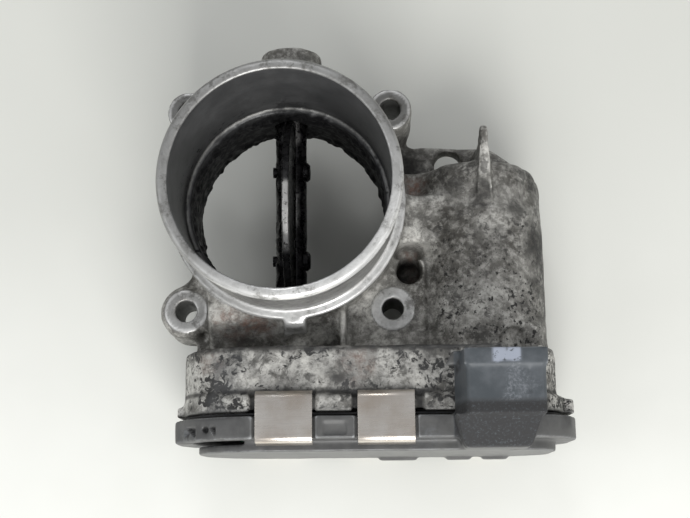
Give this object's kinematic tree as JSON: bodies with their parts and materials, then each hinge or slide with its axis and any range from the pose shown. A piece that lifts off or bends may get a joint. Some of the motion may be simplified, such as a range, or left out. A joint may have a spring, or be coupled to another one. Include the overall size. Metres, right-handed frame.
{
  "type": "motor-driven throttle body",
  "caption": "Cast throttle body with a long beaded hose spigot, an open butterfly plate, a side motor barrel and a clipped plastic gear cover that carries the connector.",
  "frame": {"origin": "middle of the footprint, on the plane that the object stands on; the bore's axis is the line X = -22.95 mm, Y = 11.05 mm, the manifold flange's face is at Z = 20 mm and the throttle shaft's axis at Z = 31.5 mm", "axes": "+Z along the bore from the manifold flange to the hose spigot; +Y along the throttle shaft, away from the gear cover, and the way the connector's mouth faces; +X from the bore towards the motor"},
  "size_m": [0.1264, 0.1306, 0.083],
  "materials": {
    "cast_aluminium": "oxidised sand-grey casting with dark speckles and brown stains; rim, bead, shoulder and bolt seats machined bright; bore sooted",
    "sooted_plate": "metal disc under oily soot, rubbed bare along part of its edge",
    "shaft_steel": "turned steel, sooted inside the bore",
    "bearing_steel": "clean ground or pressed steel",
    "spring_steel": "drawn spring wire",
    "clip_steel": "brushed stainless strip with a faint brown film",
    "brass": "turned or stamped brass",
    "copper": "bare and enamelled copper",
    "ferrite": "moulded ferrite magnet",
    "carbon": "pressed carbon brush",
    "cover_plastic": "glass-filled slate-grey plastic, scuffed and dusty",
    "gear_plastic": "natural ivory gear plastic",
    "seal_rubber": "matte black rubber",
    "board_laminate": "green circuit laminate"
  },
  "bodies": {
    "housing": {"throttle_housing": "cast_aluminium", "gear_side_bearing": "bearing_steel", "far_side_bearing": "bearing_steel", "gear_side_seal": "seal_rubber", "far_side_seal": "seal_rubber", "boss_end_plug": "bearing_steel", "idler_pin": "bearing_steel", "return_spring": "spring_steel", "motor_can": "bearing_steel", "motor_end_plate": "bearing_steel", "motor_screw_1": "bearing_steel", "motor_screw_2": "bearing_steel", "motor_magnet_1": "ferrite", "motor_magnet_2": "ferrite", "carbon_brush_1": "carbon", "carbon_brush_2": "carbon", "motor_bush": "brass", "gear_cover": "cover_plastic", "cover_gasket": "seal_rubber", "top_clip_1": "clip_steel", "top_clip_2": "clip_steel", "bottom_clip_1": "clip_steel", "bottom_clip_2": "clip_steel", "bottom_clip_3": "clip_steel", "sensor_board": "board_laminate", "connector_pin_1": "brass", "connector_pin_2": "brass", "connector_pin_3": "brass", "connector_pin_4": "brass", "connector_pin_5": "brass", "connector_pin_6": "brass"},
    "throttle_rotor": {"throttle_shaft": "shaft_steel", "throttle_plate": "sooted_plate", "plate_screw_1": "shaft_steel", "plate_screw_2": "shaft_steel", "sector_gear": "gear_plastic", "sensor_magnet": "ferrite"},
    "idler": {"idler_gear": "gear_plastic"},
    "motor_rotor": {"motor_shaft": "shaft_steel", "armature_core": "bearing_steel", "armature_windings": "copper", "commutator": "copper", "motor_pinion": "brass"}
  },
  "joints": [
    {"name": "throttle_turn", "type": "hinge", "parent": "housing", "child": "throttle_rotor", "pos_m": [-0.02295, 0.01105, 0.0315], "axis": [0, 1, 0], "range_deg": [0, 87], "stiffness_Nm_per_rad": 0.12, "springref_deg": -20.05},
    {"name": "idler_turn", "type": "hinge", "parent": "housing", "child": "idler", "pos_m": [0.00855, -0.04795, 0.0315], "axis": [0, 1, 0], "range_deg": [-220, 0]},
    {"name": "motor_turn", "type": "hinge", "parent": "housing", "child": "motor_rotor", "pos_m": [0.03655, -0.00895, 0.02675], "axis": [0, 1, 0], "range_deg": [0, 815]}
  ],
  "couplings": [
    {"joint": "idler_turn", "follows": "throttle_turn", "ratio": -2.5},
    {"joint": "motor_turn", "follows": "throttle_turn", "ratio": 9.3333}
  ]
}
